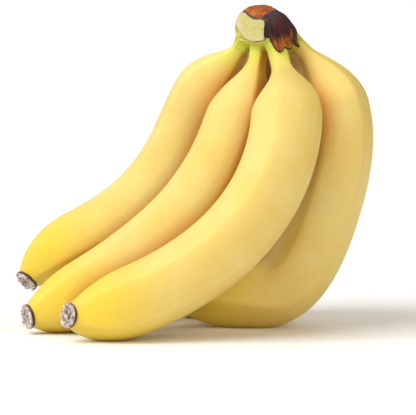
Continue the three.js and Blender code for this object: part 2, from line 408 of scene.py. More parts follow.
@dataclass(frozen=True)
class CutCrownFinish(Finish):
    """The crown: pale flesh on the side cut, brown fibres on the top cut, green rind and collar elsewhere."""

    name: str = "cut_crown"
    rind: str = "C8C952"
    rind_brown: str = "8E7A35"
    collar: str = "C4D048"
    collar_pale: str = "DADC9C"
    flesh: str = "BEB868"
    flesh_green: str = "A8B434"
    flesh_edge: str = "CEBC92"
    flesh_fleck: str = "A9763E"
    outline: str = "7A4A34"
    seam: str = "1E1112"
    husk: str = "1E1013"
    husk_purple: str = "321D22"
    stub: str = "C8CC42"
    fibre: str = "8C4318"
    fibre_light: str = "BF6E30"
    fibre_dark: str = "40170E"
    fine_depth: float = 0.00015
    patch_depth: float = 0.0002

    def looks(self, desk: Desk, effects: Effects) -> dict[str, Feed]:
        """Looks that follow the crown's own attributes."""
        where = desk.place()
        pale, inner, top, rim, seam, stub, collar, folded = desk.attributes(*Crown.MARKS)
        patches = effects.use(desk, Effect.MOTTLE, where, 260.0, 0.12)
        broad = effects.use(desk, Effect.MOTTLE, where, 110.0, 0.12)
        fine = effects.use(desk, Effect.MOTTLE, where, 900.0, 0.14)
        flecks = effects.use(desk, Effect.SPECKS, where, 520.0, 0.42, 0.3)

        base = desk.tint(desk.two(broad, self.rind, self.rind_brown), stub, self.stub)
        base = desk.blend(collar, base, desk.two(patches, self.collar, self.collar_pale))

        greener = desk.maths("MULTIPLY", inner, desk.scaled(patches, 0.75, 0.2), clamp=True)
        flesh = desk.two(inner, self.flesh_edge, self.flesh)
        flesh = desk.tint(flesh, greener, self.flesh_green)
        flesh = desk.tint(flesh, fine, self.flesh_edge, 0.6)
        flesh = desk.tint(flesh, flecks, self.flesh_fleck, 0.6)
        base = desk.blend(pale, base, flesh)

        fibres = desk.two(broad, self.fibre, self.fibre_light)
        fibres = desk.tint(fibres, patches, self.fibre_dark, 0.65)
        fibres = desk.tint(fibres, fine, self.fibre_light, 0.35)
        base = desk.blend(top, base, fibres)
        base = desk.tint(base, rim, self.outline)
        base = desk.tint(base, seam, self.seam)
        base = desk.blend(folded, base, desk.two(patches, self.husk, self.husk_purple))
        roughness = desk.ease(top, 0.0, 1.0, 0.55, 0.85)
        return self.skinned(desk, base, roughness, (fine, self.fine_depth), (patches, self.patch_depth))


@dataclass(frozen=True)
class DriedSkinFinish(Finish):
    """Papery skin dried nearly black, with purple and red-brown in it, and brown where it frays."""

    name: str = "dried_skin"
    dark: str = "150A0F"
    purple: str = "2A1923"
    red: str = "48170F"
    frayed: str = "C8741E"
    frayed_deep: str = "824012"
    edge: str = "1C0E10"
    shine: float = 0.25
    fine_depth: float = 0.0001
    streak_depth: float = 0.0003

    def looks(self, desk: Desk, effects: Effects) -> dict[str, Feed]:
        """Looks that follow the sheet's own attributes."""
        where = desk.place()
        sheet = desk.skin()
        low, edge, middle = desk.attributes(*Crown.SHEET_MARKS)
        patches = effects.use(desk, Effect.MOTTLE, where, 300.0, 0.14)
        fine = effects.use(desk, Effect.MOTTLE, where, 1100.0, 0.2)
        streak = effects.use(desk, Effect.FIBRES, sheet, 1.1, 0.12)

        reds = desk.maths("MULTIPLY", middle, desk.scaled(patches, 0.7, 0.2), clamp=True)
        base = desk.tint(desk.two(streak, self.dark, self.purple), reds, self.red)
        frayed = desk.two(streak, self.frayed_deep, self.frayed)
        base = desk.blend(desk.maths("MULTIPLY", low, desk.scaled(patches, 0.4, 0.6)), base, frayed)
        base = desk.tint(base, edge, self.edge)
        roughness = desk.ease(fine, 0.0, 1.0, 0.45, 0.7)
        looks = self.skinned(desk, base, roughness, (fine, self.fine_depth), (streak, self.streak_depth))
        return looks | {"Specular IOR Level": self.shine}


@dataclass(frozen=True)
class DriedFlowerFinish(Finish):
    """Corky grey-pink tissue with a brown rim and black pits."""

    name: str = "dried_flower_end"
    cork: str = "D9C2B8"
    cork_pale: str = "FBF4EE"
    cork_brown: str = "7A4A38"
    rim: str = "451C12"
    pit: str = "1E1618"
    roughness: float = 0.8
    fine_depth: float = 0.0003

    def looks(self, desk: Desk, effects: Effects) -> dict[str, Feed]:
        """Looks that follow the end's own attributes."""
        where = desk.place()
        rim, pit = desk.attributes("rim", "pit")
        patches = effects.use(desk, Effect.MOTTLE, where, 480.0, 0.12)
        fine = effects.use(desk, Effect.MOTTLE, where, 1300.0, 0.12)
        base = desk.tint(desk.two(patches, self.cork, self.cork_pale), fine, self.cork_brown, 0.3)
        base = desk.tint(base, rim, self.rim)
        base = desk.tint(base, pit, self.pit)
        return self.skinned(desk, base, self.roughness, (fine, self.fine_depth))


@dataclass(frozen=True)
class TableFinish(Finish):
    """A matt white table top, with a faint unevenness in its roughness."""

    name: str = "white_table"
    white: str = "FCFDFF"
    shine: float = 0.2

    def looks(self, desk: Desk, effects: Effects) -> dict[str, Feed]:
        """Looks that are nearly even all over."""
        cloudy = effects.use(desk, Effect.MOTTLE, desk.place(), 6.0, 0.4)
        return {
            "Base Color": colour(self.white),
            "Roughness": desk.ease(cloudy, 0.0, 1.0, 0.8, 0.9),
            "Specular IOR Level": self.shine,
        }


# ---- Mesh helpers ----


@dataclass(frozen=True)
class Placing:
    """Where the drawing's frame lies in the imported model's frame."""

    origin: Vector

    def put(self, point: Vector) -> Vector:
        """Takes a point of the drawing, in millimetres, to its place in metres."""
        return (point - self.origin) * METRE_PER_MM


def mesh_of(name: str, shape: Shape) -> bpy.types.Mesh:
    """Turns a drawn shape into a mesh, and frees the shape."""
    mesh = bpy.data.meshes.new(name)
    shape.to_mesh(mesh)
    shape.free()
    return mesh


def show(name: str, data: bpy.types.ID) -> Piece:
    """Puts an object with the given data into the scene."""
    thing = bpy.data.objects.new(name, data)
    bpy.context.scene.collection.objects.link(thing)
    return thing


def marks(shape: Shape, *names: str) -> list[Any]:
    """Gives every vertex of a shape a number under each name."""
    return [shape.verts.layers.float.new(name) for name in names]


def lay_tube(shape: Shape, sides: int, rings: int, lay: Lay) -> None:
    """Fills an empty shape with a closed tube, and lays each of its vertices in place.

    Args:
        shape: The empty shape.
        sides: Vertices round each ring.
        rings: Rings from one end to the other.
        lay: Takes a vertex, its angle, its share of the length and its share of the radius, and returns
            its place.
    """
    bmesh.ops.create_cone(
        shape, cap_ends=True, cap_tris=True, segments=sides, radius1=1.0, radius2=1.0, depth=1.0
    )
    lengthwise = [edge for edge in shape.edges if abs(edge.verts[0].co.z - edge.verts[1].co.z) > 0.5]
    bmesh.ops.subdivide_edges(shape, edges=lengthwise, cuts=rings - 2, use_grid_fill=True)
    for vertex in shape.verts:
        x, y, z = vertex.co
        vertex.co = lay(vertex, math.atan2(y, x), z + 0.5, math.hypot(x, y))


def join(shape: Shape, other: Shape) -> None:
    """Adds another shape to a shape, and frees the other."""
    mesh = mesh_of("joined", other)
    shape.from_mesh(mesh)
    bpy.data.meshes.remove(mesh)


def finish_piece(
    shape: Shape, name: str, placing: Placing, material: Material, nodes: Sequence[str], slot: Slot
) -> Piece:
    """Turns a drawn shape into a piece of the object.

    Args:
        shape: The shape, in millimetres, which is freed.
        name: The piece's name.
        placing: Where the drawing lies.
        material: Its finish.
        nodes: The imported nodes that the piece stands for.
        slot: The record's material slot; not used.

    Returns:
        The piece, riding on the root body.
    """
    bmesh.ops.recalc_face_normals(shape, faces=shape.faces)
    for vertex in shape.verts:
        vertex.co = placing.put(vertex.co)
    mesh = mesh_of(name, shape)
    mesh.polygons.foreach_set("use_smooth", [True] * len(mesh.polygons))
    mesh.materials.append(material)
    piece = show(name, mesh)
    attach(piece, Body.ROOT.value)
    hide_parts(*nodes)
    log.info("%s: %d faces", name, len(mesh.polygons))
    return piece


class CentreLine:
    """A clamped cubic spline through the pull of its points, walked by length."""

    DEGREE = 3
    STEPS = 200
    NUDGE = 1e-4

    def __init__(self, route: Sequence[Point]) -> None:
        """Measures the spline of a route, given in millimetres."""
        self._points = [Vector(point) for point in route]
        spans = len(route) - self.DEGREE
        ends = self.DEGREE + 1
        self._knots = [0.0] * ends + [i / spans for i in range(1, spans)] + [1.0] * ends
        walk = [self._spline(i / self.STEPS) for i in range(self.STEPS + 1)]
        self._lengths = [0.0]
        for a, b in zip(walk, walk[1:]):
            self._lengths.append(self._lengths[-1] + (b - a).length)
        self.length = self._lengths[-1]

    def _spline(self, u: float) -> Vector:
        """The point at a knot value, by repeated mixing of the route's points."""
        u = min(max(u, 0.0), 1.0)
        span = self.DEGREE
        while span < len(self._points) - 1 and u >= self._knots[span + 1]:
            span += 1
        mixed = [self._points[span - self.DEGREE + i].copy() for i in range(self.DEGREE + 1)]
        for level in range(1, self.DEGREE + 1):
            for i in range(self.DEGREE, level - 1, -1):
                low = self._knots[span - self.DEGREE + i]
                high = self._knots[span + 1 + i - level]
                mixed[i] = mixed[i - 1].lerp(mixed[i], (u - low) / (high - low))
        return mixed[self.DEGREE]

    def _knot(self, share: float) -> float:
        """The knot value at a share of the length."""
        target = share * self.length
        step = next((i for i, far in enumerate(self._lengths) if far >= target), self.STEPS)
        if step == 0:
            return 0.0
        low, high = self._lengths[step - 1], self._lengths[step]
        return (step - 1 + (target - low) / (high - low)) / self.STEPS

    def at(self, share: float) -> Vector:
        """The point at a share of the length."""
        return self._spline(self._knot(share))

    def tangent(self, share: float) -> Vector:
        """The direction towards the tip at a share of the length."""
        u = self._knot(share)
        return (self._spline(u + self.NUDGE) - self._spline(u - self.NUDGE)).normalized()


# ---- Fingers ----

FAN = Vector((0.42, -0.91, 0.0)).normalized()  # the fingers lie side by side along this direction


@dataclass(frozen=True)
class Section:
    """A place on a finger's centre line and the directions across it."""

    centre: Vector
    tangent: Vector
    side: Vector
    hollow: Vector

    @classmethod
    def of(cls, line: CentreLine, share: float) -> "Section":
        """The section at a share of a line's length."""
        tangent = line.tangent(share)
        side = (FAN - tangent * FAN.dot(tangent)).normalized()
        return cls(line.at(share), tangent, side, tangent.cross(side))

    def out(self, angle: float, reach: float, ahead: float = 0.0) -> Vector:
        """A point at an angle and a reach from the centre, and ahead towards the tip."""
        across = self.hollow * math.cos(angle) + self.side * math.sin(angle)
        return self.centre + across * reach + self.tangent * ahead


@dataclass(frozen=True)
class Finger:
    """One banana: its peel and the dried flower end on its tip."""

    name: str
    stalk_radius: float
    stalk_length: float
    radius: float
    roll: tuple[float, float]
    route: tuple[Point, ...]
    seed: float
    ripeness: float = 0.0  # how far the yellow reaches up into the stalk, in millimetres
    shoulder_shade: float = 0.0  # how strongly the shoulder is painted brown as shade

    sides: int = 80
    rings: int = 170
    shoulder_length: float = 32.0
    shoulder_ease: float = 0.85
    tip_radius: float = 5.7
    tip_length: float = 35.0
    tip_ease: float = 2.3
    ridges: int = 5
    ridge_softness: float = 0.04
    ridge_line: float = 1.1
    flatness: tuple[float, float] = (0.6, 0.2)  # at the ends, and how much less at the middle
    unevenness: float = 0.18
    uneven_across: float = 1.3
    uneven_along: float = 24.0
    seed_shift: float = 50.0
    # Painted shade on the shoulder: the distances over which it fades along the finger, and the facing beyond
    # which it fades.
    shoulder_shade_along: tuple[float, float] = (18.0, 46.0)
    shoulder_shade_facing: tuple[float, float] = (-0.1, 0.3)
    # Painted shade between fingers: steps along each other finger, and the gap and reach over which it fades.
    near_steps: int = 70
    near_gap: float = 1.0
    near_reach: float = 11.0
    end_sides: int = 72
    end_rings: int = 34
    # Distance past the tip and share of the tip's radius, from inside the peel round to the face's middle.
    end_profile: tuple[tuple[float, float], ...] = (
        (-2.0, 0.85), (-0.6, 0.95), (0.0, 1.04), (0.7, 1.1), (1.4, 1.05), (2.1, 0.97),
        (2.4, 0.88), (2.2, 0.77), (1.5, 0.64), (1.1, 0.48), (1.3, 0.3), (1.5, 0.12),
    )

    @property
    def line(self) -> CentreLine:
        """The finger's centre line."""
        return CentreLine(self.route)

    def girth(self, distance: float, length: float) -> float:
        """The finger's radius.

        Args:
            distance: Distance from the stalk's start.
            length: Length of the centre line.

        Returns:
            The radius at a ridge.
        """
        shoulder = smooth(self.stalk_length, self.stalk_length + self.shoulder_length, distance)
        from_stalk = self.stalk_radius + (self.radius - self.stalk_radius) * shoulder**self.shoulder_ease
        to_tip = min(1.0, (length - distance) / self.tip_length)
        taper = 1.0 - (1.0 - to_tip) ** self.tip_ease
        return min(from_stalk, self.tip_radius + (self.radius - self.tip_radius) * taper)

    def to_ridge(self, angle: float, share: float) -> float:
        """The angle from a point on the peel to the nearest ridge, in radians."""
        turn = 2.0 * math.pi / self.ridges
        roll = math.radians(between(self.roll[0], self.roll[1], share))
        return turn / 2.0 - abs((angle - roll) % turn - turn / 2.0)

    def reach(self, angle: float, share: float, length: float) -> float:
        """How far the peel stands from the centre line at an angle and a share of the length."""
        turn = 2.0 * math.pi / self.ridges
        eased = math.hypot(self.to_ridge(angle, share), self.ridge_softness)
        sharpness = self.flatness[0] - self.flatness[1] * math.sin(math.pi * share)
        flat = (math.cos(turn / 2.0) / math.cos(turn / 2.0 - min(eased, turn / 2.0))) ** sharpness
        distance = share * length
        across = self.uneven_across
        along = distance / self.uneven_along + self.seed
        uneven = wave(across * math.cos(angle), across * math.sin(angle), along)
        girth = self.girth(distance, length)
        return girth * flat + self.unevenness * uneven * girth / self.radius

    def mark_painted_shade(self, shape: Shape, others: Sequence["Finger"]) -> None:
        """Marks painted shade where each part of the peel closely faces another finger, and keeps the painted
        shade on the shoulder to its front.

        Args:
            shape: The peel.
            others: The other fingers.
        """
        (groove_shade,) = marks(shape, "groove_shade")
        centres: list[Vector] = []
        reaches: list[float] = []
        for other in others:
            for step in range(1, self.near_steps):
                share = step / self.near_steps
                centres.append(other.line.at(share))
                reaches.append(other.girth(share * other.line.length, other.line.length))
        bmesh.ops.recalc_face_normals(shape, faces=shape.faces)
        shape.normal_update()
        places = np.array([vertex.co[:] for vertex in shape.verts])
        facing = np.array([vertex.normal[:] for vertex in shape.verts])
        best = np.zeros(len(places))
        for centre, reach in zip(np.array([point[:] for point in centres]), reaches):
            away = centre - places
            far = np.linalg.norm(away, axis=1)
            close = (1.0 - np.clip((far - reach - self.near_gap) / self.near_reach, 0.0, 1.0)) ** 0.8
            towards = np.clip((np.einsum("ij,ij->i", away, facing) / far + 0.1) / 0.8, 0.0, 1.0)
            best = np.maximum(best, close * towards)
        shoulder_shade = shape.verts.layers.float["shoulder_shade"]
        for vertex, value in zip(shape.verts, best):
            vertex[groove_shade] = float(value)
            vertex[shoulder_shade] *= fade(*self.shoulder_shade_facing, vertex.normal.y)

    def build_peel(self, placing: Placing, others: Sequence["Finger"], material: Material) -> Piece:
        """Builds the peel, from inside the crown to the tip."""
        line = self.line
        shape = bmesh.new()
        from_stalk, from_tip, ridge, shoulder_shade = marks(shape, "from_stalk", "from_tip", "ridge", "shoulder_shade")
        skin = shape.verts.layers.float_vector.new("skin")
        sections: dict[int, Section] = {}

        def lay(vertex: Vertex, angle: float, share: float, rim: float) -> Vector:
            ring = round(share * (self.rings - 1))
            if ring not in sections:
                sections[ring] = Section.of(line, share)
            distance = share * line.length
            girth = self.girth(distance, line.length)
            off = self.to_ridge(angle, share) * girth
            vertex[from_stalk] = distance + self.ripeness
            vertex[from_tip] = line.length - distance
            # Painted shade on the shoulder, fading along the finger.
            vertex[shoulder_shade] = self.shoulder_shade * fade(*self.shoulder_shade_along, distance)
            vertex[ridge] = math.exp(-((off / self.ridge_line) ** 2))
            along = distance + self.seed_shift * self.seed
            vertex[skin] = Vector((girth * math.cos(angle), girth * math.sin(angle), along))
            point = sections[ring].out(angle, rim * self.reach(angle, share, line.length))
            point.z = max(point.z, 0.0)
            return point

        lay_tube(shape, self.sides, self.rings, lay)
        self.mark_painted_shade(shape, others)
        return finish_piece(shape, f"{self.name}_peel", placing, material, [self.name], Slot.PEEL)

    def build_end(self, placing: Placing, material: Material) -> Piece:
        """Builds the dried flower end, a torn corky stub with a hollowed face."""
        tip = Section.of(self.line, 1.0)
        shape = bmesh.new()
        rim_layer, pit_layer = marks(shape, "rim", "pit")
        profile = self.end_profile

        def lay(vertex: Vertex, angle: float, share: float, rim: float) -> Vector:
            step = share * (len(profile) - 1)
            low = min(int(step), len(profile) - 2)
            ahead = between(profile[low][0], profile[low + 1][0], step - low)
            out = between(profile[low][1], profile[low + 1][1], step - low)
            x, y = math.cos(angle), math.sin(angle)
            shred = wave(2.2 * x, 2.2 * y, 3.0 * share + self.seed)
            fray = wave(6.0 * x, 6.0 * y, 8.0 * share + self.seed)
            loose = smooth(0.15, 0.5, share)
            face = smooth(0.6, 0.8, share)
            ahead += loose * (0.8 * shred + 0.6 * fray)
            out *= 1.0 + 0.15 * shred * loose + 0.08 * fray * loose
            hole = wave(2.6 * x * out, 2.6 * y * out, 7.0 + self.seed)
            pit = face * smooth(-0.02, 0.25, hole)
            ahead -= 1.5 * pit
            vertex[pit_layer] = pit
            streaks = 0.8 * smooth(0.15, 0.45, fray) * (1.0 - 0.4 * face)
            vertex[rim_layer] = max(fade(0.26, 0.4, share), streaks)
            return tip.out(angle, rim * out * self.tip_radius, ahead)

        lay_tube(shape, self.end_sides, self.end_rings, lay)
        node = f"{self.name}_flower_end"
        return finish_piece(shape, f"{node}_cork", placing, material, [node], Slot.DRIED_FLOWER_END)


# ---- Crown ----


@dataclass(frozen=True)
class Cut:
    """A flat knife cut, given by a point on it and the way it faces."""

    point: Vector
    facing: Vector

    def height(self, place: Vector) -> float:
        """How far a place stands off the cut, on the side that it faces."""
        return (place - self.point).dot(self.facing.normalized())


@dataclass(frozen=True)
class Lobe:
    """One ragged tongue of dried skin."""

    azimuth: float
    drop: float
    spread: float


@dataclass(frozen=True)
class Crown:
    """The crown that joins the fingers: a low leaning dome with two cuts, a collar and dried skin."""

    MARKS = ("pale", "inner", "top", "rim", "seam", "stub", "collar", "folded")
    SHEET_MARKS = ("low", "edge", "middle")

    base: float = 143.0
    height: float = 18.3
    centre: tuple[float, float] = (35.5, 0.5)
    lean: float = -3.4
    half_width: float = 15.4
    half_depth: float = 14.5
    top_share: float = 0.985
    packed_levels: int = 9
    top_cut: Cut = Cut(Vector((32.5, -2.0, 159.4)), Vector((-0.05, -0.54, 0.84)))
    side_cut: Cut = Cut(Vector((33.0, -12.0, 148.0)), Vector((-0.58, -0.8, 0.17)))
    sides: int = 96
    rings: int = 40
    voxel: float = 0.4
    dome_power: float = 2.4
    foot: float = 0.93
    shoulder_slack: float = 1.4
    slack_right: tuple[float, float] = (37.0, 45.0)
    slack_up: tuple[float, float] = (148.0, 155.0)
    belly_offset: Point = (0.3, 0.5, 0.2)
    belly_size: Point = (13.6, 12.4, 3.2)
    rise: float = 8.0  # how far the side cut's lower edge climbs, over a width left of a place
    rise_width: float = 7.7
    rise_from: float = 27.6
    bulge: float = 0.8  # how far the edge between the cuts bows, over a half width round a place
    bulge_width: float = 3.5
    bulge_at: float = 28.5
    on_cut: tuple[float, float] = (0.1, 0.45)
    by_cut: tuple[float, float] = (0.5, 1.2)
    blur: tuple[float, float] = (-0.15, 0.15)
    fold_point: tuple[float, float] = (35.5, -6.8)
    fold_facing: tuple[float, float] = (0.657, -0.755)
    stub_length: float = 12.0
    stub_flare: float = 0.14
    stub_steps: int = 18
    stub_sides: int = 40
    stub_rings: int = 14

    gap: float = 0.3
    skin_thickness: float = 1.1
    skin_azimuths: tuple[float, float] = (-100.0, 150.0)
    skin_flare: float = 0.45
    skin_clearance: float = 0.55
    skin_lies_on: tuple[str, ...] = ("finger_3", "finger_4")
    sheet_cells: tuple[int, int] = (220, 56)
    sheet_width: float = 65.0
    sheet_doubled: float = 0.5
    lobes: tuple[Lobe, ...] = (
        Lobe(-73.0, 6.8, 15.0),
        Lobe(-53.0, 5.6, 14.0),
        Lobe(-23.0, 4.4, 14.0),
        Lobe(48.0, 4.6, 16.0),
        Lobe(84.0, 1.6, 14.0),
        Lobe(122.0, 3.8, 18.0),
    )

    def swell(self, share: float) -> float:
        """Half width at a share of the height, as a share of that at the widest."""
        dome = math.sqrt(max(0.0, 1.0 - max(0.0, share) ** self.dome_power))
        return dome * (self.foot + 0.07 * smooth(0.0, 0.35, share))

    def surface(self, azimuth: float, share: float, offset: float = 0.0) -> Vector:
        """A point on the dome, or off it by an offset, at an azimuth in radians."""
        swell = self.swell(share)
        flare = max(0.0, -share * self.height) * self.skin_flare
        wide, deep = (half * swell + offset + flare for half in (self.half_width, self.half_depth))
        x = self.centre[0] + self.lean * share + wide * math.cos(azimuth)
        y = self.centre[1] + deep * math.sin(azimuth)
        z = self.base + self.height * share + offset * max(0.0, share) ** 2
        slack = self.shoulder_slack * smooth(*self.slack_right, x) * smooth(*self.slack_up, z)
        return Vector((x, y, z - slack))

    def stub_reach(self, finger: Finger, angle: float, distance: float, length: float) -> float:
        """How far the flesh stands round a stalk, from a flare at its start to just under the peel."""
        flare = 1.0 + self.stub_flare * fade(1.5, 8.0, distance)
        sunk = 0.5 * smooth(6.0, self.stub_length, distance)
        return finger.reach(angle, distance / length, length) * flare - sunk

    def clear_of_stalks(self, point: Vector, fingers: Sequence[Finger]) -> Vector:
        """Pushes a point off the stalks where it would lie inside one."""
        for finger in fingers:
            line = finger.line
            for step in range(self.stub_steps):
                distance = step / (self.stub_steps - 1) * self.stub_length
                centre = line.at(distance / line.length)
                reach = self.stub_reach(finger, 0.0, distance, line.length) + self.skin_clearance
                away = point - centre
                if away.length < reach:
                    point = centre + away.normalized() * reach
        return point

    def placing(self) -> Placing:
        """Finds the drawing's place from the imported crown's box, whose right and back are left whole."""
        low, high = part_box("crown")
        shares = [
            self.top_share * math.sin(level / (self.packed_levels - 1) * math.pi / 2.0)
            for level in range(self.packed_levels)
        ]
        right = max(self.surface(0.0, share).x for share in shares)
        back = max(self.surface(math.pi / 2.0, share).y for share in shares)
        millimetres = 1.0 / METRE_PER_MM
        packed = (high.x * millimetres, high.y * millimetres, low.z * millimetres)
        return Placing(Vector((right - packed[0], back - packed[1], self.base - packed[2])))

    def _dome(self) -> Shape:
        """The dome with its two cuts."""
        shape = bmesh.new()

        def lay(vertex: Vertex, angle: float, share: float, rim: float) -> Vector:
            level = self.top_share * math.sin(share * math.pi / 2.0)
            middle = self.surface(angle, level)
            axis = Vector((self.centre[0] + self.lean * level, self.centre[1], middle.z))
            return axis.lerp(middle, rim)

        lay_tube(shape, self.sides, self.rings, lay)
        for cut in (self.top_cut, self.side_cut):
            sliced = bmesh.ops.bisect_plane(
                shape,
                geom=list(shape.verts) + list(shape.edges) + list(shape.faces),
                plane_co=cut.point,
                plane_no=cut.facing.normalized(),
                clear_outer=True,
            )
            edges = [part for part in sliced["geom_cut"] if isinstance(part, bmesh.types.BMEdge)]
            bmesh.ops.triangle_fill(shape, edges=edges, use_beauty=True)
        return shape

    def _remeshed(self, shape: Shape) -> Shape:
        """Melts overlapping closed shapes into one even skin, and frees the mesh that it was given."""
        bmesh.ops.recalc_face_normals(shape, faces=shape.faces)
        mesh = mesh_of("crown_blank", shape)
        blank = show("crown_blank", mesh)
        melt = blank.modifiers.new("melt", "REMESH")
        melt.mode = "VOXEL"
        melt.voxel_size = self.voxel
        graph = bpy.context.evaluated_depsgraph_get()
        melted = bmesh.new()
        melted.from_mesh(blank.evaluated_get(graph).to_mesh())
        bpy.data.objects.remove(blank)
        bpy.data.meshes.remove(mesh)
        return melted

    def build_body(self, placing: Placing, fingers: Sequence[Finger], material: Material) -> Piece:
        """Builds the crown, with a lumpy underside and a collar that flares down each stalk."""
        shape = self._dome()
        middle = zip((*self.centre, self.base), self.belly_offset)
        belly = Matrix.Translation([place + offset for place, offset in middle])
        belly = belly @ Matrix.Diagonal((*self.belly_size, 1.0))
        bmesh.ops.create_uvsphere(shape, u_segments=64, v_segments=32, radius=1.0, matrix=belly)
        for finger in fingers:
            line = finger.line

            def lay(vertex: Vertex, angle: float, share: float, rim: float) -> Vector:
                distance = share * self.stub_length
                section = Section.of(line, distance / line.length)
                return section.out(angle, rim * self.stub_reach(finger, angle, distance, line.length))

            stub = bmesh.new()
            lay_tube(stub, self.stub_sides, self.stub_rings, lay)
            join(shape, stub)
        shape = self._remeshed(shape)
        self._sculpt(shape)
        return finish_piece(shape, "crown_body", placing, material, ["crown"], Slot.CUT_CROWN)

    def _sculpt(self, shape: Shape) -> None:
        """Softens the melted crown, roughens each of its surfaces and marks which is which."""
        low = [vertex for vertex in shape.verts if vertex.co.z < self.base + 0.6]
        for vertices, factor in [(low, 0.5)] * 6 + [(shape.verts, 0.4)]:
            bmesh.ops.smooth_vert(
                shape, verts=vertices, factor=factor, use_axis_x=True, use_axis_y=True, use_axis_z=True
            )
        pale, inner, top, rim, seam, stub, collar, folded = marks(shape, *self.MARKS)
        shape.normal_update()
        moves: list[Vector] = []
        for vertex in shape.verts:
            x, y, z = vertex.co
            side_off = -self.side_cut.height(vertex.co)
            top_off = -self.top_cut.height(vertex.co)
            rise = self.rise * (max(0.0, self.rise_from - x) / self.rise_width) ** 2
            above = smooth(self.base + rise - 0.4, self.base + rise + 0.3, z)
            bulge = self.bulge * max(0.0, 1.0 - ((x - self.bulge_at) / self.bulge_width) ** 2)
            lead = side_off - top_off + bulge
            at_side = fade(*self.on_cut, side_off)
            at_top = fade(*self.on_cut, top_off)
            on_side = at_side * smooth(*self.blur, -lead) * above
            on_top = max(at_top, at_side) * smooth(*self.blur, lead)
            past = self.fold_facing[0] * (x - self.fold_point[0])
            past += self.fold_facing[1] * (y - self.fold_point[1])
            past += 0.5 * wave(x / 2.0, y / 2.0, 1.0) + 0.25 * wave(x / 0.8, y / 0.8, 4.0)
            beside = max(on_top, fade(1.6, 2.4, top_off)) * smooth(*self.blur, lead)
            vertex[folded] = beside * smooth(-0.15, 0.25, past)
            from_edge = min(top_off, 0.9 * (z - self.base))
            across = Vector((x - self.centre[0], y - self.centre[1], 0.0)).length
            vertex[pale] = on_side
            vertex[inner] = smooth(0.3, 2.6, from_edge) * fade(11.5, 14.5, across)
            vertex[top] = on_top
            near_side = fade(*self.by_cut, side_off) * smooth(rise - 0.7, rise - 0.1, z - self.base)
            near_top = fade(*self.by_cut, top_off)
            vertex[rim] = max(near_side * (1.0 - on_side), near_top * 0.9) * (1.0 - on_top) * (1.0 - on_side)
            uneven = 0.25 * wave_at(vertex.co, 1.6)
            width = between(0.75, 0.25, smooth(27.0, 32.0, x))
            line = fade(width * 0.5, width, abs(lead + 0.2 + uneven))
            vertex[seam] = line * fade(0.5, 1.0, side_off)
            vertex[stub] = fade(self.base - 1.5, self.base + 2.5, z)
            front = fade(-11.0, -6.0, y + 0.5 * abs(x - 29.0))
            vertex[collar] = (1.0 - above) * smooth(self.base - 3.8, self.base - 2.6, z) * front
            lumps = wave_at(vertex.co, 2.2)
            bumps = wave_at(vertex.co, 0.9)
            plain = (1.0 - max(on_side, on_top)) * smooth(self.base - 7.0, self.base - 2.0, z)
            lift = 0.2 * lumps * plain + 0.08 * bumps * plain
            lift += on_side * (0.12 * wave_at(vertex.co, 3.0) + 0.05 * bumps)
            lift -= at_side * (1.0 - above) * smooth(self.base - 1.0, self.base + 1.0, z)
            lift += 0.4 * vertex[folded]
            lift += on_top * (0.4 * wave_at(vertex.co, 1.8) + 0.25 * bumps)
            lift += vertex[collar] * (0.3 + 0.5 * wave_at(vertex.co, 1.4))
            moves.append(vertex.normal * lift)
        for vertex, move in zip(shape.verts, moves):
            vertex.co += move

    def _skin_bottom(self, degrees: float) -> float:
        """Share of the height where the dried skin ends below."""
        drops = [
            lobe.drop * max(0.0, 1.0 - (abs(degrees - lobe.azimuth) / lobe.spread) ** 2) ** 0.6
            for lobe in self.lobes
        ]
        torn = 0.5 * wave(degrees / 5.0, 3.1, 0.0) + 0.3 * wave(degrees / 1.7, 8.2, 0.0)
        short = 0.11 * smooth(-13.0, -5.0, degrees) * fade(25.0, 38.0, degrees)
        return 0.09 + short - (max(drops) + torn) / self.height

    def _skin_top(self, degrees: float) -> float:
        """Share of the height where the dried skin meets the top cut, or ends on the back of the dome."""
        azimuth = math.radians(degrees)
        steps = 100
        levels = ((step, self.surface(azimuth, step / steps)) for step in range(steps // 2, steps))
        meets = next((step for step, point in levels if self.top_cut.height(point) > 0), steps)
        limit = 0.9 - 0.3 * smooth(25.0, 95.0, degrees) + 0.03 * wave(degrees / 9.0, 5.0, 0.0)
        return min(meets / steps, limit)

    def build_skin(self, placing: Placing, fingers: Sequence[Finger], material: Material) -> Piece:
        """Builds the dried skin, a rumpled sheet with ragged lobes that hang over the collar."""
        shape = bmesh.new()
        low_layer, edge_layer, middle_layer = marks(shape, *self.SHEET_MARKS)
        sheet_layer = shape.verts.layers.float_vector.new("skin")
        columns, rows = self.sheet_cells
        bmesh.ops.create_grid(shape, x_segments=columns, y_segments=rows, size=0.5)
        stalks = [finger for finger in fingers if finger.name in self.skin_lies_on]
        tops: dict[float, float] = {}
        for vertex in shape.verts:
            column, row = vertex.co.x + 0.5, vertex.co.y + 0.5
            degrees = between(self.skin_azimuths[0], self.skin_azimuths[1], column)
            if column not in tops:
                tops[column] = self._skin_top(degrees)
            bottom, top = self._skin_bottom(degrees), tops[column]
            slant = 4.0 + 7.0 * row + 1.5 * wave(row * 5.0, 1.7, 0.0)
            degrees += fade(0.0, 0.12, column) * slant
            share = between(bottom, top, row)
            arc = math.radians(degrees) * self.half_width
            hang = (share - bottom) * self.height
            crease = wave(arc / 2.6, hang / 9.0, 2.0)
            fold = wave(arc / 1.1, hang / 4.0, 6.0)
            under_top = (top - share) * self.height
            from_sides = min(column, 1.0 - column) * self.sheet_width
            near_edge = min(hang, under_top, from_sides)
            tuck = smooth(0.0, 2.0, near_edge)
            offset = self.gap + self.skin_thickness * 0.6 + tuck * (0.35 * crease + 0.18 * fold)
            curl = fade(0.0, 2.5, hang) * (0.4 * wave(arc / 3.0, 9.0, 0.0) + 0.1)
            offset -= 0.9 * fade(0.0, 3.0, under_top)
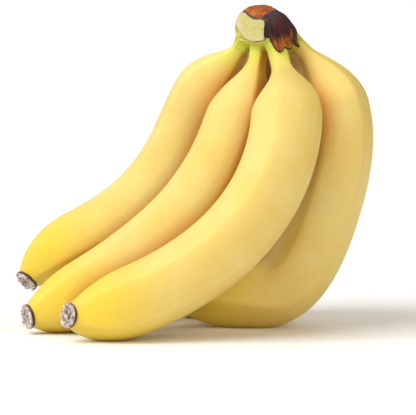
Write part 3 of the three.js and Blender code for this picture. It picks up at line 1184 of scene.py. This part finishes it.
            vertex.co = self.surface(math.radians(degrees), share, offset + curl)
            if share < 0.15:
                vertex.co = self.clear_of_stalks(vertex.co, stalks)
            brown = smooth(-88.0, -74.0, degrees) * fade(-38.0, -28.0, degrees)
            faint = smooth(-34.0, -20.0, degrees) * fade(-6.0, 6.0, degrees) * 0.3
            brown = max(brown, faint)
            vertex[low_layer] = brown * fade(3.0, 7.5, hang + 1.5 * crease)
            vertex[edge_layer] = fade(0.1, 0.75, near_edge)
            vertex[middle_layer] = smooth(4.0, 8.0, hang) * smooth(0.04, 0.14, column)
            vertex[sheet_layer] = Vector((arc, 0.0, hang))
        bmesh.ops.recalc_face_normals(shape, faces=shape.faces)
        middle = Vector((*self.centre, self.base))
        outward = sum(face.normal.dot(face.calc_center_median() - middle) for face in shape.faces)
        thickness = math.copysign(self.sheet_doubled, outward)
        bmesh.ops.solidify(shape, geom=list(shape.faces), thickness=thickness)
        node = "dried_crown_skin"
        return finish_piece(shape, "dried_skin_sheet", placing, material, [node], Slot.DRIED_SKIN)


# ---- The bunch ----


@dataclass(frozen=True)
class Bunch:
    """Five fingers on one crown."""

    crown: Crown = Crown()
    fingers: tuple[Finger, ...] = (
        Finger(
            name="finger_1", stalk_radius=4.6, stalk_length=6.0, radius=17.9, roll=(95.0, 95.0), seed=1.0,
            route=(
                (25.0, 6.0, 145.0), (22.0, 8.0, 136.0), (9.0, 15.0, 126.0), (-2.0, 24.0, 103.0),
                (-15.0, 25.5, 72.0), (-47.0, 21.0, 45.0), (-75.0, 17.0, 35.0), (-85.0, 10.0, 23.0),
            ),
        ),
        Finger(
            name="finger_2", stalk_radius=4.9, stalk_length=12.0, radius=18.0, roll=(76.0, 115.0), seed=4.0,
            route=(
                (31.5, -0.5, 145.0), (32.0, -2.0, 134.0), (25.0, -7.0, 118.0), (16.0, -12.0, 86.0),
                (-5.0, -13.0, 54.0), (-44.0, -16.0, 24.0), (-67.0, -20.0, 12.0), (-81.0, -27.0, 9.0),
            ),
        ),
        Finger(
            name="finger_3", stalk_radius=5.3, stalk_length=16.0, radius=18.2, roll=(47.0, 45.0), seed=9.0,
            route=(
                (39.0, -7.0, 145.0), (43.0, -11.0, 129.0), (46.0, -31.0, 114.0), (43.5, -42.5, 88.0),
                (27.0, -46.0, 54.0), (-9.0, -48.0, 25.0), (-47.0, -50.0, 11.0), (-59.0, -58.0, 13.0),
            ),
        ),
        Finger(
            name="finger_4", stalk_radius=4.8, stalk_length=11.0, radius=18.2, roll=(33.0, 33.0), seed=15.0,
            ripeness=8.0,
            route=(
                (46.0, 3.0, 145.0), (55.0, 2.0, 137.0), (67.0, -1.0, 124.0), (74.5, -6.0, 94.0),
                (64.0, -4.0, 52.0), (45.0, -1.0, 9.0), (14.0, 1.0, 20.0), (-16.0, 0.0, 19.0),
            ),
        ),
        Finger(
            name="finger_5", stalk_radius=5.2, stalk_length=3.0, radius=18.2, roll=(60.0, 75.0), seed=22.0,
            # Its shoulder, seen only between the stalks, is painted brown as shade.
            shoulder_shade=0.85,
            route=(
                (36.8, 8.2, 145.0), (37.2, 13.8, 138.0), (38.5, 26.5, 138.5), (40.5, 42.5, 122.0),
                (39.5, 49.0, 88.0), (33.0, 45.0, 37.0), (12.0, 41.0, 6.6), (-22.0, 38.0, 20.0),
            ),
        ),
    )

    def build(self, effects: Effects) -> Placing:
        """Builds and dresses every piece.

        Args:
            effects: The shared shader effects.

        Returns:
            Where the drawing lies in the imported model's frame.
        """
        placing = self.crown.placing()
        log.info("the drawing's origin is at %s mm", tuple(round(value, 3) for value in placing.origin))
        self.crown.build_body(placing, self.fingers, CutCrownFinish().make(effects))
        self.crown.build_skin(placing, self.fingers, DriedSkinFinish().make(effects))
        peel = PeelFinish().make(effects)
        cork = DriedFlowerFinish().make(effects)
        for finger in self.fingers:
            finger.build_peel(placing, [other for other in self.fingers if other is not finger], peel)
            finger.build_end(placing, cork)
        return placing


# ---- Studio ----


@dataclass(frozen=True)
class SoftLamp:
    """A far soft lamp: where it stands, its strength and the angle that it fills, in degrees."""

    name: str
    stands: Point
    strength: float
    fills: float
    tint: str = "FFFFFF"

    def build(self) -> None:
        """Hangs the lamp."""
        light = bpy.data.lights.new(self.name, "SUN")
        light.energy = self.strength
        light.angle = math.radians(self.fills)
        light.color = colour(self.tint)[:3]
        lamp = show(self.name, light)
        lamp.location = self.stands
        lamp.rotation_euler = Vector(self.stands).to_track_quat("Z", "Y").to_euler()
        lamp.visible_glossy = False


@dataclass(frozen=True)
class Studio:
    """A white table in soft light, and the camera."""

    table_half: float = 40.0
    background: float = 1.05
    ambient: float = 0.38
    ambient_tint: str = "FFFBF2"
    mirrored: float = 0.08
    sky: float = 2.9
    sky_side: Point = (-0.5, -0.35, 0.8)
    lens: float = 180.0
    sensor: float = 36.0
    distance: float = 1.04
    farthest: float = 200.0
    elevation: float = 4.2
    looks_at: Point = (6.25, 0.0, 60.2)
    lamps: tuple[SoftLamp, ...] = (
        SoftLamp("key_upper_left", (-0.8, -0.45, 0.92), 2.48, 50.0),
        SoftLamp("fill_right", (0.75, -0.85, 0.45), 0.85, 50.0, "FFEDD4"),
        SoftLamp("top_back", (0.1, 0.5, 0.9), 0.3, 50.0),
    )

    def build(self, placing: Placing, effects: Effects) -> None:
        """Builds the table, the lamps, the surroundings and the camera.

        Args:
            placing: Where the drawing lies.
            effects: The shared shader effects.
        """
        shape = bmesh.new()
        bmesh.ops.create_grid(shape, x_segments=8, y_segments=8, size=self.table_half)
        mesh = mesh_of("table_top", shape)
        mesh.materials.append(TableFinish().make(effects))
        table = show("table_top", mesh)
        for lamp in self.lamps:
            lamp.build()
        self._surround()
        self._aim(placing)

    def _surround(self) -> None:
        """Gives the surroundings a white background, a dim even light, and a brighter sky to reflect."""
        world = bpy.data.worlds.new("studio")
        bpy.context.scene.world = world
        world.use_nodes = True
        world.node_tree.nodes.clear()
        desk = Desk(world.node_tree)
        path = desk.add("ShaderNodeLightPath").outputs
        light = desk.add("ShaderNodeBackground")
        toward = desk.add("ShaderNodeVectorMath", operation="DOT_PRODUCT")
        around = desk.add("ShaderNodeTexCoord").outputs["Generated"]
        desk.fill(toward.inputs, around, Vector(self.sky_side).normalized())
        sky = desk.ease(toward.outputs["Value"], 0.0, 0.8, self.mirrored, self.sky)
        extra = desk.maths("SUBTRACT", sky, self.ambient)
        dim = desk.scaled(path["Is Glossy Ray"], extra, self.ambient)
        seen = desk.maths("MULTIPLY", path["Is Camera Ray"], self.background - self.ambient)
        desk.feed(light.inputs["Strength"], desk.maths("ADD", dim, seen))
        desk.feed(light.inputs["Color"], desk.two(path["Is Diffuse Ray"], "FFFFFF", self.ambient_tint))
        output = desk.add("ShaderNodeOutputWorld")
        desk.feed(output.inputs["Surface"], light.outputs[0])
        # Each kind of ray has its own light here, so the light is found by the rays and not sampled ahead.
        world.cycles.sampling_method = "NONE"
        bpy.context.scene.view_settings.view_transform = "Standard"

    def _aim(self, placing: Placing) -> None:
        """Sets the camera a little above the table, level with the bunch."""
        data = bpy.data.cameras.new("camera")
        data.lens = self.lens
        data.sensor_width = self.sensor
        data.clip_end = self.farthest
        camera = show("camera", data)
        tilt = math.radians(self.elevation)
        back = Vector((0.0, -math.cos(tilt), math.sin(tilt))) * self.distance
        camera.location = placing.put(Vector(self.looks_at)) + back
        camera.rotation_euler = (math.pi / 2.0 - tilt, 0.0, 0.0)
        bpy.context.scene.camera = camera


def main() -> None:
    """Builds the bunch and the studio."""
    logging.basicConfig(level=logging.INFO, format="%(name)s: %(message)s")
    effects = Effects()
    placing = Bunch().build(effects)
    Studio().build(placing, effects)
    bpy.context.view_layer.update()


if __name__ == "__main__":
    main()
